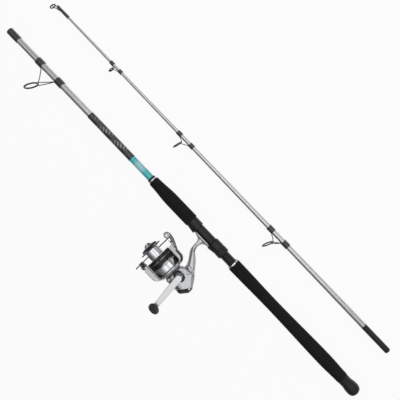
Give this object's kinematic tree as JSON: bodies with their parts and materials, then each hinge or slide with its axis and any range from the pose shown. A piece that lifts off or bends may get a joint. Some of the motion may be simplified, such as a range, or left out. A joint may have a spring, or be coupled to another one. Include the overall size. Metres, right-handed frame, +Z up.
{
  "type": "fishing rod and reel",
  "caption": "Two-piece spinning rod with foam grips, wire line guides and a spinning reel with crank, rotor, bail and spool.",
  "frame": {"origin": "centre of the butt cap's flat end, on the axis of the butt section", "axes": "+X along the rod from butt to tip, +Z up as both sections lie on a floor, +Y towards the side the reel hangs on"},
  "size_m": [1.101, 0.2775, 0.1687],
  "materials": {
    "cap_rubber": "matte",
    "grip_foam": "matte",
    "knob_rubber": "satin",
    "ring_silver": "satin",
    "seat_black": "satin",
    "blank_pearl": "gloss",
    "accent_teal": "gloss",
    "trim_black": "gloss",
    "guide_wire": "satin",
    "ring_ceramic": "gloss",
    "spigot_dark": "satin",
    "reel_silver": "satin",
    "reel_black": "satin",
    "steel": "satin",
    "bail_dark": "satin",
    "pinion_brass": "satin",
    "inner_plastic": "matte",
    "crank_silver": "satin",
    "spool_alloy": "satin",
    "bright_trim": "polished",
    "washer_fibre": "matte"
  },
  "bodies": {
    "rod": {"butt_cap": "cap_rubber", "rear_grip": "grip_foam", "rear_ring": "ring_silver", "reel_seat": "seat_black", "fixed_hood": "seat_black", "foregrip": "grip_foam", "front_ring": "ring_silver", "butt_blank": "blank_pearl", "accent_band": "accent_teal", "trim_sleeve": "trim_black", "stripper_wraps": "trim_black", "stripper_frame": "guide_wire", "stripper_ring": "ring_ceramic", "ferrule_collar": "trim_black", "reel_body": "reel_silver", "side_cover": "reel_silver", "hub_bezel": "reel_black", "cover_screws": "steel", "rear_cap": "reel_black", "shaft_bearings": "steel", "pinion_bearing": "steel", "one_way_clutch": "steel", "guide_rod": "steel"},
    "crank": {"drive_gear": "steel", "handle_shaft": "steel", "screw_cap": "crank_silver", "crank_arm": "crank_silver", "knob_pin": "steel"},
    "knob": {"knob": "knob_rubber"},
    "rotor": {"pinion_gear": "pinion_brass", "rotor": "reel_silver", "rotor_nut": "steel", "arm_cover": "reel_black", "bail_screws": "steel"},
    "bail": {"bail_arm": "bail_dark", "bail_wire": "steel", "bail_holder": "bail_dark", "roller_screw": "steel"},
    "roller": {"line_roller": "bright_trim"},
    "crosswind": {"crosswind_gear": "inner_plastic"},
    "shaft": {"main_shaft": "steel", "slider": "inner_plastic"},
    "spool": {"spool": "spool_alloy", "skirt_band": "reel_black", "lip_ring": "bright_trim", "drag_washers": "washer_fibre"},
    "drag": {"drag_knob": "reel_black"},
    "lever": {"reverse_lever": "reel_black"},
    "hood": {"sliding_hood": "seat_black"},
    "nut": {"lock_nut": "seat_black"},
    "tip": {"tip_blank": "blank_pearl", "ferrule_spigot": "spigot_dark", "guide_a": "guide_wire", "guide_b": "guide_wire", "guide_c": "guide_wire", "guide_rings": "ring_ceramic", "tip_wraps": "trim_black", "tiptop": "guide_wire"}
  },
  "joints": [
    {"name": "crank_spin", "type": "hinge", "parent": "rod", "child": "crank", "pos_m": [0.455, 0.09523, 0.03655], "axis": [0, -0.3583, 0.9336], "continuous": true},
    {"name": "knob_spin", "type": "hinge", "parent": "crank", "child": "knob", "pos_m": [0.4484, 0.13698, 0.13291], "axis": [0, -0.3583, 0.9336], "continuous": true},
    {"name": "rotor_spin", "type": "hinge", "parent": "rod", "child": "rotor", "pos_m": [0.485, 0.10083, 0.0387], "axis": [1, 0, 0], "continuous": true},
    {"name": "crosswind_spin", "type": "hinge", "parent": "rod", "child": "crosswind", "pos_m": [0.4365, 0.1017, 0.03047], "axis": [0, -0.3583, 0.9336], "continuous": true},
    {"name": "bail_flip", "type": "hinge", "parent": "rotor", "child": "bail", "pos_m": [0.521, 0.10083, 0.0387], "axis": [0, -0.9336, -0.3583], "range_deg": [0, 110]},
    {"name": "roller_spin", "type": "hinge", "parent": "bail", "child": "roller", "pos_m": [0.5373, 0.05868, 0.01845], "axis": [0, -0.3583, 0.9336], "continuous": true},
    {"name": "spool_stroke", "type": "slide", "parent": "rod", "child": "shaft", "axis": [1, 0, 0], "range_m": [0, 0.011]},
    {"name": "spool_spin", "type": "hinge", "parent": "shaft", "child": "spool", "pos_m": [0.525, 0.10083, 0.0387], "axis": [1, 0, 0], "continuous": true},
    {"name": "drag_turn", "type": "hinge", "parent": "shaft", "child": "drag", "pos_m": [0.543, 0.10083, 0.0387], "axis": [1, 0, 0], "range_deg": [0, 1080]},
    {"name": "lever_turn", "type": "hinge", "parent": "rod", "child": "lever", "pos_m": [0.463, 0.12043, 0.04623], "axis": [0, 0.9336, 0.3583], "range_deg": [0, 38]},
    {"name": "nut_turn", "type": "hinge", "parent": "hood", "child": "nut", "pos_m": [0.427, 0, 0], "axis": [-1, 0, 0], "range_deg": [0, 3000]},
    {"name": "hood_slide", "type": "slide", "parent": "rod", "child": "hood", "axis": [-1, 0, 0], "range_m": [0, 0.0125]},
    {"name": "tip_lift", "type": "slide", "parent": "rod", "child": "tip", "axis": [0, 0, 1], "range_m": [0, 0.3]}
  ],
  "couplings": [
    {"joint": "rotor_spin", "follows": "crank_spin", "ratio": -4.25},
    {"joint": "crosswind_spin", "follows": "crank_spin", "ratio": -0.5},
    {"joint": "nut_turn", "follows": "hood_slide", "rad_per_m": 4188.8}
  ]
}
